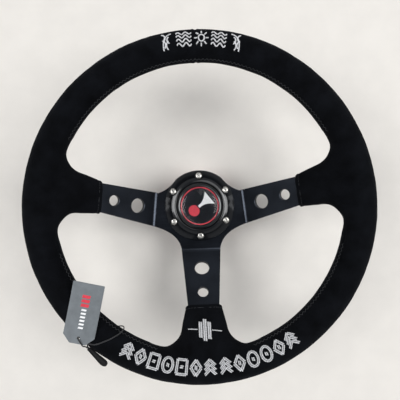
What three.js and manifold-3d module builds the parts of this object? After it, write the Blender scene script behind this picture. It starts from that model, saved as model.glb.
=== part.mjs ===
// Quick release steering wheel: a 350 mm deep-dish wheel with three bent spokes, a suede wrapped rim, a
// sprung horn button under a bolted ring, and a ball-lock release coupler behind the hub.
// Units are millimetres. +Z runs along the steering axis towards the driver, +Y towards 12 o'clock, and
// the origin is the centre of the coupler's back face, which seats on the column.

import * as THREE from "three";
import { mergeVertices } from "three/addons/utils/BufferGeometryUtils.js";
import Module from "manifold-3d";

const wasm = await Module();
wasm.setup();

// ---- Driving dimensions ----------------------------------------------------------------------------

const GAP = 0.3; // clearance left between pieces that touch
const DEG = Math.PI / 180;

const RIM_R = 159; // rim circle, through the middle of the grip
const GRIP_R = 16; // grip section over the suede: 350 mm over the rim
const SUEDE_T = 1.3;
const FOAM_R = GRIP_R - SUEDE_T - GAP;
const CORE_R = 6;
const RIM_SIDES = 44;
const GRIP_SIDES = 10;
const CORE_SIDES = 6;

const COUPLER_H = 50; // coupler back face to the back of the spoke plate
const PLATE_T = 4.5;
const PLATE_TOP = COUPLER_H + PLATE_T;
const PLATE_MID = COUPLER_H + PLATE_T / 2;
const RIM_Z = 131.5; // height of the rim circle
const HUB_R = 42;
const HUB_BORE_R = 24;

const BOLT_CIRCLE_R = 35; // the usual 70 mm six-bolt pattern
const BOLT_HOLE_R = 2.75;
const BOLT_ANGLES = [90, 30, -30, -90, -150, 150];

const BEND_AT = 53; // hub centre to each spoke's bend line
const BEND_R = 10; // radius of the plate's middle round the bend
const DISH = 37.5 * DEG; // slope of the spokes beyond the bend
const SPOKE_END = 126; // along the sloped plate, from the bend line to the rim core
const HOLES = [
  { along: 23.8, r: 8.4 },
  { along: 53.6, r: 5.9 },
];
const BOOT_START = 68.5; // where the suede begins on the sloped plate
const BOOT_END = 126; // where it is inside the grip

// Each spoke: its bend line's normal, its middle line (offset and slant across the plate), its width at
// the bend and taper per side, and the half width of its suede boot at the open end.
const UPPER = { offset: -8.2, slant: 0.146, width: 40, taper: 0.08, boot: 17.3, flare: 0.16 };
const SPOKES = {
  right: { ...UPPER, normal: 6.1, side: 1 },
  left: { ...UPPER, normal: 180 - 6.1, side: -1 },
  bottom: { offset: 0, slant: 0, width: 46, taper: 0.095, boot: 19.3, flare: 0.2, normal: -90, side: 1 },
};

const SUEDE = { color: 0x0b0b0d, roughness: 0.95, metalness: 0 };
const THREAD = { color: 0x1a1a1c, roughness: 0.8, metalness: 0 };
const FOAM = { color: 0x2a2a2a, roughness: 0.9, metalness: 0 };
const STEEL = { color: 0x8c8f94, roughness: 0.35, metalness: 1 };
const ANODISED = { color: 0x1c2027, roughness: 0.35, metalness: 0.8 };
const BLACK_GLOSS = { color: 0x060607, roughness: 0.12, metalness: 0.3 };
const BLACK_PLASTIC = { color: 0x0c0c0d, roughness: 0.45, metalness: 0 };
const EMBLEM_BLACK = { color: 0x101418, roughness: 0.4, metalness: 0 };
const CLEAR_RESIN = { color: 0xf2f5f7, roughness: 0.05, metalness: 0, transparent: true, opacity: 0.2 };
const CHROME = { color: 0xd9dadc, roughness: 0.15, metalness: 1 };
const BRASS = { color: 0xb8923a, roughness: 0.3, metalness: 1 };
const RED_ANODISED = { color: 0x9e1420, roughness: 0.3, metalness: 0.8 };
const STRING = { color: 0x101012, roughness: 0.85, metalness: 0 };
const CARD = { color: 0x6b7074, roughness: 0.6, metalness: 0 };

// ---- Solids ----------------------------------------------------------------------------------------

const wheel = new THREE.Group();

/** Turns a closed geometry into a manifold solid. */
function solid(geometry) {
  const loose = geometry.index ? geometry.toNonIndexed() : geometry;
  const bare = new THREE.BufferGeometry();
  bare.setAttribute("position", loose.getAttribute("position"));
  const merged = mergeVertices(bare, 1e-4);
  return new wasm.Manifold(
    new wasm.Mesh({
      numProp: 3,
      vertProperties: new Float32Array(merged.getAttribute("position").array),
      triVerts: new Uint32Array(merged.index.array),
    }),
  );
}

/** Turns a manifold solid back into a geometry. */
function geometryOf(made) {
  const mesh = made.getMesh();
  const positions = new Float32Array(mesh.numVert * 3);
  for (let i = 0; i < mesh.numVert; i++) {
    positions.set(mesh.vertProperties.subarray(i * mesh.numProp, i * mesh.numProp + 3), i * 3);
  }
  const geometry = new THREE.BufferGeometry();
  geometry.setAttribute("position", new THREE.BufferAttribute(positions, 3));
  geometry.setIndex(new THREE.BufferAttribute(mesh.triVerts, 1));
  geometry.computeVertexNormals();
  return geometry;
}

/** Adds one named piece to the wheel. */
function piece(name, geometry, finish) {
  const mesh = new THREE.Mesh(geometry, new THREE.MeshStandardMaterial(finish));
  mesh.name = name;
  wheel.add(mesh);
  return mesh;
}

/** A turned solid about Z from its [radius, height] outline, which runs up the outside. */
function turned(outline, sides = 36) {
  const points = outline.map(([r, z]) => new THREE.Vector2(r, z));
  if (outline[0][0] > 0) points.push(points[0].clone());
  return new THREE.LatheGeometry(points, sides).rotateX(Math.PI / 2);
}

/** A cylinder along Z between two heights. */
function rod(r, low, high, sides = 12) {
  const made = new THREE.CylinderGeometry(r, r, high - low, sides);
  return made.rotateX(Math.PI / 2).translate(0, 0, (low + high) / 2);
}

/** A flat ring about Z. */
function washer(inner, outer, low, high) {
  const outline = [
    [inner, low],
    [outer, low],
    [outer, high],
    [inner, high],
  ];
  return turned(outline, 32);
}

/** A plate of the given outline between two heights. */
function plate(shape, low, high, curveSegments = 8) {
  const settings = { depth: high - low, bevelEnabled: false, curveSegments };
  return new THREE.ExtrudeGeometry(shape, settings).translate(0, 0, low);
}

/** A ring round the rim circle, of the given section radius. */
function rimRing(r, tubeSides = GRIP_SIDES) {
  return new THREE.TorusGeometry(RIM_R, r, tubeSides, RIM_SIDES).translate(0, 0, RIM_Z);
}

/** A closed solid through a list of rings of points, which all turn the same way. */
function loft(rings) {
  const n = rings[0].length;
  const positions = rings.flat().flatMap((p) => [p.x, p.y, p.z]);
  const faces = [];
  for (let i = 0; i + 1 < rings.length; i++) {
    for (let j = 0; j < n; j++) {
      const [a, b] = [i * n + j, i * n + ((j + 1) % n)];
      faces.push(a, b, b + n, a, b + n, a + n);
    }
  }
  const last = (rings.length - 1) * n;
  for (let j = 1; j + 1 < n; j++) {
    faces.push(0, j + 1, j, last, last + j, last + j + 1);
  }
  const geometry = new THREE.BufferGeometry();
  geometry.setAttribute("position", new THREE.Float32BufferAttribute(positions, 3));
  geometry.setIndex(faces);
  return geometry;
}

/** A loft as a manifold solid, turned the right way out. */
function loftSolid(rings) {
  const made = solid(loft(rings));
  return made.volume() > 0 ? made : solid(loft(rings.map((r) => [...r].reverse())));
}

/** A tube of a round section along a curve, closed at both ends. */
function tube(curve, r, steps, sides = 8) {
  const section = new THREE.Shape();
  for (let i = 0; i < sides; i++) {
    const a = (i / sides) * 2 * Math.PI;
    section[i ? "lineTo" : "moveTo"](r * Math.cos(a), r * Math.sin(a));
  }
  return new THREE.ExtrudeGeometry(section, { steps, extrudePath: curve, bevelEnabled: false });
}

/** A coil spring about Z, as a tube round a helix. */
class Helix extends THREE.Curve {
  constructor(r, low, high, turns) {
    super();
    Object.assign(this, { r, low, high, turns });
  }
  getPoint(t, target = new THREE.Vector3()) {
    const a = t * this.turns * 2 * Math.PI;
    return target.set(this.r * Math.cos(a), this.r * Math.sin(a), this.low + t * (this.high - this.low));
  }
}

// ---- Spokes ----------------------------------------------------------------------------------------

/** A point of a spoke: s along the plate's middle from the bend line, v across it, w out of its face. */
function onSpoke(spoke, s, v, w) {
  const start = -BEND_R * Math.tan(DISH / 2);
  const turn = Math.min(Math.max((s - start) / BEND_R, 0), DISH);
  let [n, z] = [Math.min(s, start), 0];
  n += BEND_R * Math.sin(turn);
  z += BEND_R * (1 - Math.cos(turn));
  const straight = Math.max(s - start - BEND_R * DISH, 0);
  n += straight * Math.cos(turn) - w * Math.sin(turn) + BEND_AT;
  z += straight * Math.sin(turn) + w * Math.cos(turn) + PLATE_MID;
  const [c, k] = [Math.cos(spoke.normal * DEG), Math.sin(spoke.normal * DEG)];
  const across = v * spoke.side;
  return new THREE.Vector3(n * c - across * k, n * k + across * c, z);
}

const middle = (spoke, s) => spoke.offset + spoke.slant * s;
const halfWidth = (spoke, s) => Math.max(spoke.width / 2 - spoke.taper * s, 12);

/** One bent arm as a solid, from just inside the hub plate to the rim core, grown by a clearance. */
function arm(spoke, grow = 0) {
  const start = -BEND_R * Math.tan(DISH / 2);
  const bend = [0, 0.25, 0.5, 0.75, 1].map((t) => start + t * BEND_R * DISH);
  const stations = [start - 2, ...bend, BOOT_START, SPOKE_END + grow];
  const h = PLATE_T / 2 + grow;
  return loftSolid(
    stations.map((s) => {
      const [m, half] = [middle(spoke, s), halfWidth(spoke, s) + grow];
      return [
        [m - half, -h],
        [m + half, -h],
        [m + half, h],
        [m - half, h],
      ].map(([v, w]) => onSpoke(spoke, s, v, w));
    }),
  );
}

/** The round hole through a spoke's face, square to it. */
function spokeHole(spoke, { along, r }) {
  const centre = middle(spoke, along);
  const ringAt = (w) =>
    Array.from({ length: 20 }, (_, i) => {
      const a = (i / 20) * 2 * Math.PI;
      return onSpoke(spoke, along + r * Math.cos(a), centre + r * Math.sin(a), w);
    });
  return loftSolid([ringAt(-PLATE_T), ringAt(PLATE_T)]);
}

/** The flat middle of the spoke plate: the hub disc and the roots of the three spokes, with its holes. */
function hubOutline() {
  const start = -BEND_R * Math.tan(DISH / 2);
  const corner = (spoke, s, side) => onSpoke(spoke, s, middle(spoke, s) + side * halfWidth(spoke, s), 0);
  const upperTop = corner(SPOKES.right, start, 1);
  const upperLow = corner(SPOKES.right, start, -1);
  const lowRight = corner(SPOKES.bottom, start, 1);
  const shape = new THREE.Shape();
  const topFillet = new THREE.Vector2(HUB_R * Math.cos(50 * DEG), HUB_R * Math.sin(50 * DEG));
  shape.absarc(0, 0, HUB_R, 130 * DEG, 50 * DEG, true);
  shape.quadraticCurveTo(topFillet.x + 9, topFillet.y - 12, upperTop.x, upperTop.y);
  shape.lineTo(upperLow.x, upperLow.y);
  shape.quadraticCurveTo(27, -32, Math.abs(lowRight.x), lowRight.y);
  shape.lineTo(-Math.abs(lowRight.x), lowRight.y);
  shape.quadraticCurveTo(-27, -32, -upperLow.x, upperLow.y);
  shape.lineTo(-upperTop.x, upperTop.y);
  shape.quadraticCurveTo(-topFillet.x - 9, topFillet.y - 12, -topFillet.x, topFillet.y);
  return shape;
}

/** The six bolt holes of the hub pattern between two heights, joined into one cutter. */
function boltHoles(low, high, r = BOLT_HOLE_R) {
  return BOLT_ANGLES.map((a) => solid(atBolt(rod(r, low, high), a))).reduce((all, one) => all.add(one));
}

function atBolt(geometry, angle) {
  return geometry.translate(BOLT_CIRCLE_R * Math.cos(angle * DEG), BOLT_CIRCLE_R * Math.sin(angle * DEG), 0);
}

let frame = solid(plate(hubOutline(), COUPLER_H, PLATE_TOP));
for (const spoke of Object.values(SPOKES)) {
  frame = frame.add(arm(spoke));
  for (const hole of HOLES) frame = frame.subtract(spokeHole(spoke, hole));
}
frame = frame.subtract(solid(rod(HUB_BORE_R, COUPLER_H - 1, PLATE_TOP + 1, 40)));
frame = frame.subtract(boltHoles(COUPLER_H - 1, PLATE_TOP + 1));
frame = frame.subtract(solid(rimRing(CORE_R + GAP, CORE_SIDES)));
piece("spoke_frame", geometryOf(frame), ANODISED);

// ---- Rim: tube core, foam, suede and its threads --------------------------------------------------

const BOOT_FLARE_FROM = 100; // the boot's sides sweep out into the grip over this length
const BOOT_FLARE_TO = 114;
const BOOT_FLARE = 12.5;
const BOOT_THICK = 5.2; // half thickness of a boot at its open end
const BOOT_THICKEN = 0.17; // how much it grows along the spoke
const BOOT_THICKEST = 12.6;
const BOOT_SIDES = 12;
const HEM_AT = BOOT_START + 4;
const HEM_WIDTH = 1.2;

/** Half width of a suede boot s along the sloped plate. */
function bootHalf(spoke, s) {
  const at = Math.min(s, BOOT_FLARE_TO);
  const swept = Math.max(at - BOOT_FLARE_FROM, 0) / (BOOT_FLARE_TO - BOOT_FLARE_FROM);
  return spoke.boot + spoke.flare * (at - BOOT_START) + BOOT_FLARE * swept * swept;
}

/** The rounded section of a boot at s, drawn in by an inset. */
function bootSection(spoke, s, inset = 0) {
  const a = bootHalf(spoke, s) - inset;
  const b = Math.min(BOOT_THICK + BOOT_THICKEN * (s - BOOT_START), BOOT_THICKEST) - inset;
  const round = (x) => Math.sign(x) * Math.sqrt(Math.abs(x));
  return Array.from({ length: BOOT_SIDES }, (_, i) => {
    const t = (i / BOOT_SIDES) * 2 * Math.PI;
    return onSpoke(spoke, s, middle(spoke, s) + a * round(Math.cos(t)), b * round(Math.sin(t)));
  });
}

/** One boot as a solid that widens into the grip; an inset makes the foam inside it. */
function boot(spoke, inset = 0) {
  const from = BOOT_START - (inset ? 2 : 0);
  const stations = [from, 84, BOOT_FLARE_FROM, 105, 110, BOOT_FLARE_TO, BOOT_END];
  return loftSolid(stations.map((s) => bootSection(spoke, s, inset)));
}

const wrapped = (r, inset) =>
  Object.values(SPOKES).reduce((all, spoke) => all.add(boot(spoke, inset)), solid(rimRing(r)));

piece("rim_core", rimRing(CORE_R, CORE_SIDES), STEEL);

const armsGrown = Object.values(SPOKES)
  .map((spoke) => arm(spoke, GAP + 0.05))
  .reduce((all, one) => all.add(one));
const foamInset = SUEDE_T + GAP;
const mouths = Object.values(SPOKES)
  .map((spoke) => bootMouth(spoke))
  .reduce((all, one) => all.add(one));

/** The block beyond a boot's open end, which trims the foam flush. */
function bootMouth(spoke) {
  const block = [BOOT_START - 12, BOOT_START + 0.5].map((s) =>
    [
      [-30, -12],
      [30, -12],
      [30, 12],
      [-30, 12],
    ].map(([v, w]) => onSpoke(spoke, s, v, w)),
  );
  return loftSolid(block);
}

const foam = wrapped(FOAM_R, foamInset)
  .subtract(mouths)
  .subtract(solid(rimRing(CORE_R + GAP + 0.1, CORE_SIDES)))
  .subtract(armsGrown);
piece("rim_foam", geometryOf(foam), FOAM);

// The wrap is one long panel whose ends meet at 12 o'clock.
const slit = solid(new THREE.BoxGeometry(0.4, 60, 60).translate(0, RIM_R, RIM_Z));
const suede = wrapped(GRIP_R, 0)
  .subtract(wrapped(FOAM_R + GAP, SUEDE_T))
  .subtract(armsGrown)
  .subtract(slit);
piece("suede_wrap", geometryOf(suede), SUEDE);

const SEAM_THREAD_R = 0.6;
const SEAM_OUT = RIM_R - (GRIP_R + 0.7) * Math.cos(18 * DEG); // a little above the grip's innermost line
const SEAM_Z = RIM_Z + (GRIP_R + 0.7) * Math.sin(18 * DEG);

/** A thread along the inside of the grip between two angles. */
class InnerArc extends THREE.Curve {
  constructor(from, to) {
    super();
    Object.assign(this, { from, to });
  }
  getPoint(t, target = new THREE.Vector3()) {
    const a = (this.from + t * (this.to - this.from)) * DEG;
    return target.set(SEAM_OUT * Math.cos(a), SEAM_OUT * Math.sin(a), SEAM_Z);
  }
}
piece("seam_thread_top", tube(new InnerArc(29, 151), SEAM_THREAD_R, 26, 6), THREAD);
piece("seam_thread_right", tube(new InnerArc(-16, -71), SEAM_THREAD_R, 12, 6), THREAD);
piece("seam_thread_left", tube(new InnerArc(196, 251), SEAM_THREAD_R, 12, 6), THREAD);

// A line of stitching holds each boot's hem, right round it.
for (const [side, spoke] of Object.entries(SPOKES)) {
  const band = (from, to, grow) => loftSolid([from, to].map((s) => bootSection(spoke, s, -grow)));
  const outside = band(HEM_AT, HEM_AT + HEM_WIDTH, GAP + 0.7);
  piece("hem_thread_" + side, geometryOf(outside.subtract(band(HEM_AT - 2, HEM_AT + 4, GAP))), THREAD);
}

// ---- Horn button and its ring ----------------------------------------------------------------------

const RING_BASE = PLATE_TOP + GAP;
const RING_TOP = RING_BASE + 8.4;
const SEAT_Z = RING_BASE + 3.6; // where the bolt heads bear, in their counterbores
const HEAD_R = 4.1;

const ringBody = turned([
  [30.5, RING_BASE],
  [40.6, RING_BASE],
  [41.2, RING_BASE + 0.8],
  [41.2, RING_BASE + 2.0],
  [40.4, RING_BASE + 2.7],
  [33.2, RING_BASE + 7],
  [30.6, RING_BASE + 8],
  [28.2, RING_TOP],
  [27.1, RING_TOP - 0.6],
  [27.1, RING_BASE + 3],
  [30.5, RING_BASE + 3],
]);
const hornRing = solid(ringBody)
  .subtract(boltHoles(RING_BASE - 1, RING_TOP + 1))
  .subtract(boltHoles(SEAT_Z, RING_TOP + 4, HEAD_R + 0.5));
piece("horn_ring", geometryOf(hornRing), BLACK_GLOSS);

// Six M5 button head screws go through the ring and the plate into the coupler's flange.
for (let i = 0; i < BOLT_ANGLES.length; i++) {
  const head = turned(
    [
      [0, COUPLER_H - 8],
      [2.1, COUPLER_H - 8],
      [2.5, COUPLER_H - 7.4],
      [2.5, SEAT_Z + GAP],
      [HEAD_R, SEAT_Z + GAP],
      [HEAD_R, SEAT_Z + GAP + 0.8],
      [3.5, SEAT_Z + GAP + 2.1],
      [2.4, SEAT_Z + GAP + 2.75],
      [0, SEAT_Z + GAP + 2.75],
    ],
    12,
  );
  const socket = solid(rod(1.75, SEAT_Z + GAP + 1.2, SEAT_Z + GAP + 4, 6));
  piece("ring_bolt_" + (i + 1), atBolt(geometryOf(solid(head).subtract(socket)), BOLT_ANGLES[i]), CHROME);
}

const CUP_BASE = 44.5;
const CUP_FLANGE_TOP = RING_BASE + 2.7;
piece(
  "horn_cup",
  turned(
    [
      [0, CUP_BASE],
      [22, CUP_BASE],
      [22, RING_BASE],
      [30, RING_BASE],
      [30, CUP_FLANGE_TOP],
      [20, CUP_FLANGE_TOP],
      [20, CUP_BASE + 2],
      [0, CUP_BASE + 2],
    ],
    40,
  ),
  BLACK_PLASTIC,
);

const PRESS = 2.5; // horn travel
const CAP_LOW = CUP_FLANGE_TOP + PRESS + 0.3;
const CAP_R = 26.6;
const CAP_FACE = CAP_LOW + 4.6;
const LENS_R = 22;
piece(
  "horn_cap",
  turned([
    [17.4, CUP_BASE + 6.5],
    [19.6, CUP_BASE + 6.5],
    [19.6, CAP_LOW],
    [CAP_R, CAP_LOW],
    [CAP_R, CAP_LOW + 3],
    [25.9, CAP_LOW + 4.6],
    [24.5, CAP_LOW + 5.7],
    [22.9, CAP_LOW + 6.1],
    [LENS_R + 0.5, CAP_LOW + 5.8],
    [LENS_R + 0.5, CAP_FACE],
    [0, CAP_FACE],
    [0, CAP_LOW + 1.6],
    [17.4, CAP_LOW + 1.6],
  ]),
  BLACK_GLOSS,
);
piece("horn_emblem", rod(LENS_R, CAP_FACE + GAP, CAP_FACE + 0.9, 40), EMBLEM_BLACK);
const LENS_LOW = CAP_FACE + 1.2;
piece(
  "horn_lens",
  turned(
    [
      [0, LENS_LOW],
      [LENS_R, LENS_LOW],
      [21.3, LENS_LOW + 0.8],
      [17, LENS_LOW + 1.7],
      [9, LENS_LOW + 2.3],
      [0, LENS_LOW + 2.5],
    ],
    32,
  ),
  CLEAR_RESIN,
);

const LOWER_CONTACT = CUP_BASE + 2 + GAP;
const UPPER_CONTACT = LOWER_CONTACT + 0.6 + PRESS + GAP;
piece("horn_contact_lower", washer(12, 18.5, LOWER_CONTACT, LOWER_CONTACT + 0.6), BRASS);
piece("horn_contact_upper", washer(12, 19, UPPER_CONTACT, UPPER_CONTACT + 0.5), BRASS);
const HORN_SPRING_LOW = CUP_BASE + 3.2;
const HORN_SPRING_HIGH = CAP_LOW + 0.6;
piece("horn_spring", tube(new Helix(8, HORN_SPRING_LOW, HORN_SPRING_HIGH, 4), 0.65, 44, 5), STEEL);

// Two spade terminals under the cup take the horn's leads.
for (const [name, x] of [["horn_terminal_signal", -10], ["horn_terminal_ground", 10]]) {
  piece(name, new THREE.BoxGeometry(0.8, 6.3, 7).translate(x, 0, CUP_BASE - GAP - 3.5), BRASS);
}

// ---- Release coupler -------------------------------------------------------------------------------

const SOCKET_R = 20;
const BARREL_R = 25;
const SOCKET_DEPTH = 31;
const WEB_TOP = 36;
const POCKET_R = 22.6;
const NECK_R = 28.6;
const NECK_LOW = 33;
const FLANGE_LOW = 42;
const FLANGE_R = 41;
const KEYWAYS = 6;
const KEY_HALF = 2.6;
const KEY_DEPTH = 2;
const BALLS = 6;
const BALL_R = 3.5;
const BALL_Z = 12;
const BALL_BITE = 1.5; // how far a locked ball stands into the socket
const PIN_R = 2;

/** The coupler's socket section: a round bore with six keyways. */
function socketOutline() {
  const half = Math.asin(KEY_HALF / SOCKET_R);
  const shape = new THREE.Shape();
  for (let i = 0; i < KEYWAYS; i++) {
    const a = (i / KEYWAYS) * 2 * Math.PI;
    const next = a + (2 * Math.PI) / KEYWAYS;
    const out = SOCKET_R + KEY_DEPTH;
    const flare = Math.asin(KEY_HALF / out);
    const corner = (r, t) => [r * Math.cos(t), r * Math.sin(t)];
    shape[i ? "lineTo" : "moveTo"](...corner(SOCKET_R, a - half));
    shape.lineTo(...corner(out, a - flare));
    shape.lineTo(...corner(out, a + flare));
    shape.lineTo(...corner(SOCKET_R, a + half));
    for (const t of [0.25, 0.5, 0.75]) {
      const step = a + half + t * (next - a - 2 * half);
      shape.lineTo(...corner(SOCKET_R, step));
    }
  }
  return shape;
}

const CLIP_LOW = 2.2;
const CLIP_HIGH = 3.4;
let coupler = solid(
  turned([
    [0, 0],
    [BARREL_R - 0.8, 0],
    [BARREL_R, 0.8],
    [BARREL_R, CLIP_LOW - 0.2],
    [BARREL_R - 1.3, CLIP_LOW - 0.2],
    [BARREL_R - 1.3, CLIP_HIGH + 0.2],
    [BARREL_R, CLIP_HIGH + 0.2],
    [BARREL_R, NECK_LOW],
    [NECK_R, NECK_LOW],
    [NECK_R, FLANGE_LOW],
    [FLANGE_R - 0.8, FLANGE_LOW],
    [FLANGE_R, FLANGE_LOW + 0.8],
    [FLANGE_R, COUPLER_H - GAP],
    [POCKET_R, COUPLER_H - GAP],
    [POCKET_R, WEB_TOP],
    [0, WEB_TOP],
  ]),
);
coupler = coupler
  .subtract(solid(plate(socketOutline(), -1, SOCKET_DEPTH, 1)))
  .subtract(solid(rod(6, SOCKET_DEPTH - 1, WEB_TOP + 1, 24)))
  .subtract(boltHoles(FLANGE_LOW - 1, COUPLER_H + 1));
// The balls sit half way between the keyways.
const ballAngles = Array.from({ length: BALLS }, (_, i) => 30 + (i * 360) / BALLS);
for (const angle of ballAngles) {
  const bore = rod(BALL_R + 0.3, SOCKET_R - 4, BARREL_R + 4, 12).rotateY(Math.PI / 2);
  coupler = coupler.subtract(solid(bore.rotateZ(angle * DEG).translate(0, 0, BALL_Z)));
}
piece("coupler_body", geometryOf(coupler), ANODISED);

const LOCKED_R = SOCKET_R - BALL_BITE + BALL_R;
for (const [i, angle] of ballAngles.entries()) {
  const ball = new THREE.SphereGeometry(BALL_R, 10, 6);
  piece("lock_ball_" + (i + 1), ball.translate(LOCKED_R, 0, BALL_Z).rotateZ(angle * DEG), CHROME);
}

// The sleeve's bore flares towards the column, so the balls ease out as it is pulled to the wheel.
const sleeve = turned([
  [BARREL_R + 3.5, 1.5],
  [39.2, 1.5],
  [40, 2.3],
  [40, 5.2],
  [39.2, 6],
  [34.2, 6],
  [33, 7.2],
  [33, 15],
  [32.2, 15.8],
  [32.2, 18.2],
  [33, 19],
  [33, 30.2],
  [32.2, 31],
  [29.1, 31],
  [29.1, 17],
  [BARREL_R + 0.2, 17],
  [BARREL_R + 0.2, 15.4],
  [BARREL_R + 0.9, 14.2],
  [BARREL_R + 0.9, 12],
  [BARREL_R + 2.6, 5],
  [BARREL_R + 2.6, 3.7],
  [BARREL_R + 3.5, 3.7],
]);
let collar = solid(sleeve);
for (let i = 0; i < 12; i++) {
  const notch = rod(3.2, 0, 8, 8).translate(41.4, 0, 0);
  collar = collar.subtract(solid(notch.rotateZ((i * 30 + 15) * DEG)));
}
piece("release_collar", geometryOf(collar), RED_ANODISED);
piece("collar_spring", tube(new Helix(27.1, 18.1, 31.9, 3.5), 0.9, 56, 5), STEEL);

// A split ring in the barrel's groove stops the sleeve.
const clipShape = new THREE.Shape();
clipShape.absarc(0, 0, 28, 8 * DEG, 352 * DEG, false);
clipShape.absarc(0, 0, BARREL_R - 1, 352 * DEG, 8 * DEG, true);
piece("retaining_ring", plate(clipShape, CLIP_LOW, CLIP_HIGH, 20), STEEL);

piece(
  "contact_insulator",
  turned(
    [
      [PIN_R + 0.4, 29],
      [5.7, 29],
      [5.7, WEB_TOP + GAP],
      [8, WEB_TOP + GAP],
      [8, WEB_TOP + 2],
      [PIN_R + 0.4, WEB_TOP + 2],
    ],
    24,
  ),
  BLACK_PLASTIC,
);
piece(
  "contact_pin",
  turned(
    [
      [0, 26],
      [1.3, 26],
      [PIN_R, 26.8],
      [PIN_R, WEB_TOP + 2.4],
      [3.4, WEB_TOP + 2.4],
      [3.4, WEB_TOP + 3.4],
      [0, WEB_TOP + 3.4],
    ],
    20,
  ),
  BRASS,
);

// ---- Hang tag on a string round the rim ------------------------------------------------------------

const TAG_W = 30;
const TAG_L = 58;
const TAG_CUT = 7.3; // the two corners cut off at the string end
const TAG_HOLE_AT = 5.5;
const TAG_HOLE_R = 1.5;
const TAG_T = 0.6;
const TAG_Z = RIM_Z + GRIP_R + 0.5;
const TAG_HOLE = new THREE.Vector2(-119.9, -118.4);
const TAG_TURN = -13.4; // the card's long side, from the wheel's vertical

const card = new THREE.Shape();
card.moveTo(-TAG_W / 2 + TAG_CUT, -TAG_HOLE_AT);
card.lineTo(TAG_W / 2 - TAG_CUT, -TAG_HOLE_AT);
card.lineTo(TAG_W / 2, TAG_CUT - TAG_HOLE_AT);
card.lineTo(TAG_W / 2, TAG_L - TAG_HOLE_AT);
card.lineTo(-TAG_W / 2, TAG_L - TAG_HOLE_AT);
card.lineTo(-TAG_W / 2, TAG_CUT - TAG_HOLE_AT);
card.holes.push(new THREE.Path().absarc(0, 0, TAG_HOLE_R, 0, 2 * Math.PI, true));
piece("hang_tag", plate(card, 0, TAG_T, 4), CARD)
  .translateX(TAG_HOLE.x)
  .translateY(TAG_HOLE.y)
  .translateZ(TAG_Z)
  .rotateZ(TAG_TURN * DEG);

// A moulded seal holds the string's two ends. Its outline runs along X from its neck to its round end.
const SEAL_T = 2.6;
const SEAL_NECK = 1.9; // half width where the string goes in
const SEAL_END_R = 4.7;
const SEAL_L = 19.7; // from the neck to the middle of the round end
const seal = new THREE.Shape();
seal.moveTo(0, -SEAL_NECK);
seal.absarc(SEAL_L, 0, SEAL_END_R, -98 * DEG, 98 * DEG, false);
seal.lineTo(0, SEAL_NECK);
const sealPlate = plate(seal, -SEAL_T / 2, SEAL_T / 2, 10);
// It lies down the outer side of the grip.
sealPlate.rotateX(36 * DEG);
sealPlate.rotateY(8.2 * DEG);
sealPlate.rotateZ(-50.3 * DEG);
piece("tag_seal", sealPlate.translate(-112, -130.2, RIM_Z + 12.8), BLACK_PLASTIC);

// The string, with heights over the rim circle: out of the seal, over the card and down through its hole,
// round under the grip, up inside it and back across its top to the seal.
const STRING_R = 0.6;
const STRING_ROUTE = [
  [-112.7, -130.4, 12.4],
  [-113.8, -129.1, 12.9],
  [-115.0, -127.6, 15.2],
  [-115.9, -126.1, 17.9],
  [-117.3, -123.4, 18.6],
  [-118.9, -120.3, 19.0],
  [-120.1, -118.5, 17.6],
  [-120.9, -118.4, 15.0],
  [-122.3, -120.1, 12.6],
  [-124.2, -123.3, 8.0],
  [-124.1, -125.8, 1.0],
  [-120.8, -126.9, -7.4],
  [-114.3, -126.1, -13.9],
  [-105.6, -124.1, -17.6],
  [-96.2, -121.3, -17.5],
  [-87.6, -118.8, -14.0],
  [-82.5, -116.9, -7.4],
  [-80.3, -116.4, -0.9],
  [-79.9, -116.3, 5.5],
  [-82.2, -117.9, 10.6],
  [-86.4, -119.6, 13.9],
  [-91.3, -121.5, 16.0],
  [-96.6, -123.0, 17.4],
  [-102.2, -124.9, 17.2],
  [-106.8, -125.5, 16.5],
  [-109.6, -125.0, 15.8],
  [-111.6, -125.6, 15.0],
  [-112.7, -127.1, 14.2],
  [-112.5, -128.6, 13.6],
  [-111.7, -129.6, 13.2],
];
const stringPoints = STRING_ROUTE.map(([x, y, over]) => new THREE.Vector3(x, y, RIM_Z + over));
const stringCurve = new THREE.CatmullRomCurve3(stringPoints, false, "centripetal");
piece("tag_string", tube(stringCurve, STRING_R, 76, 8), STRING);

export default wheel;
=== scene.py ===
import math
import random

import bmesh
import bpy
import numpy as np
from mathutils import Matrix, Vector, noise
from mathutils.bvhtree import BVHTree


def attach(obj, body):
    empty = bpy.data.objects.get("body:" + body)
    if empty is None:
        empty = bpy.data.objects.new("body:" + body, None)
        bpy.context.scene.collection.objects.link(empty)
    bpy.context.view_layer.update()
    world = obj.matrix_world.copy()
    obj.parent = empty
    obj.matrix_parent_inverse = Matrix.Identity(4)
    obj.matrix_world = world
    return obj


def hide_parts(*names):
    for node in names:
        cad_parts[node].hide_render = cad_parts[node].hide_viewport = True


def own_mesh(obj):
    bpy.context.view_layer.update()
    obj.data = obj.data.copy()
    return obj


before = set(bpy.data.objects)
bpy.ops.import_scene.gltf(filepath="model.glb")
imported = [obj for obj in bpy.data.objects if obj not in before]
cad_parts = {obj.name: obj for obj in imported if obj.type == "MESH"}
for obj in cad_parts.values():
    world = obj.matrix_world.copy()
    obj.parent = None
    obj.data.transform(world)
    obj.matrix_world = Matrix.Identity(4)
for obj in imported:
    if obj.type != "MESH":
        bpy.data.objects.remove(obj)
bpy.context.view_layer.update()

# A quick release steering wheel. Lengths here are in millimetres and go into Blender in metres. +Z runs
# along the steering axis towards the driver and +Y towards 12 o'clock.

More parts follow.
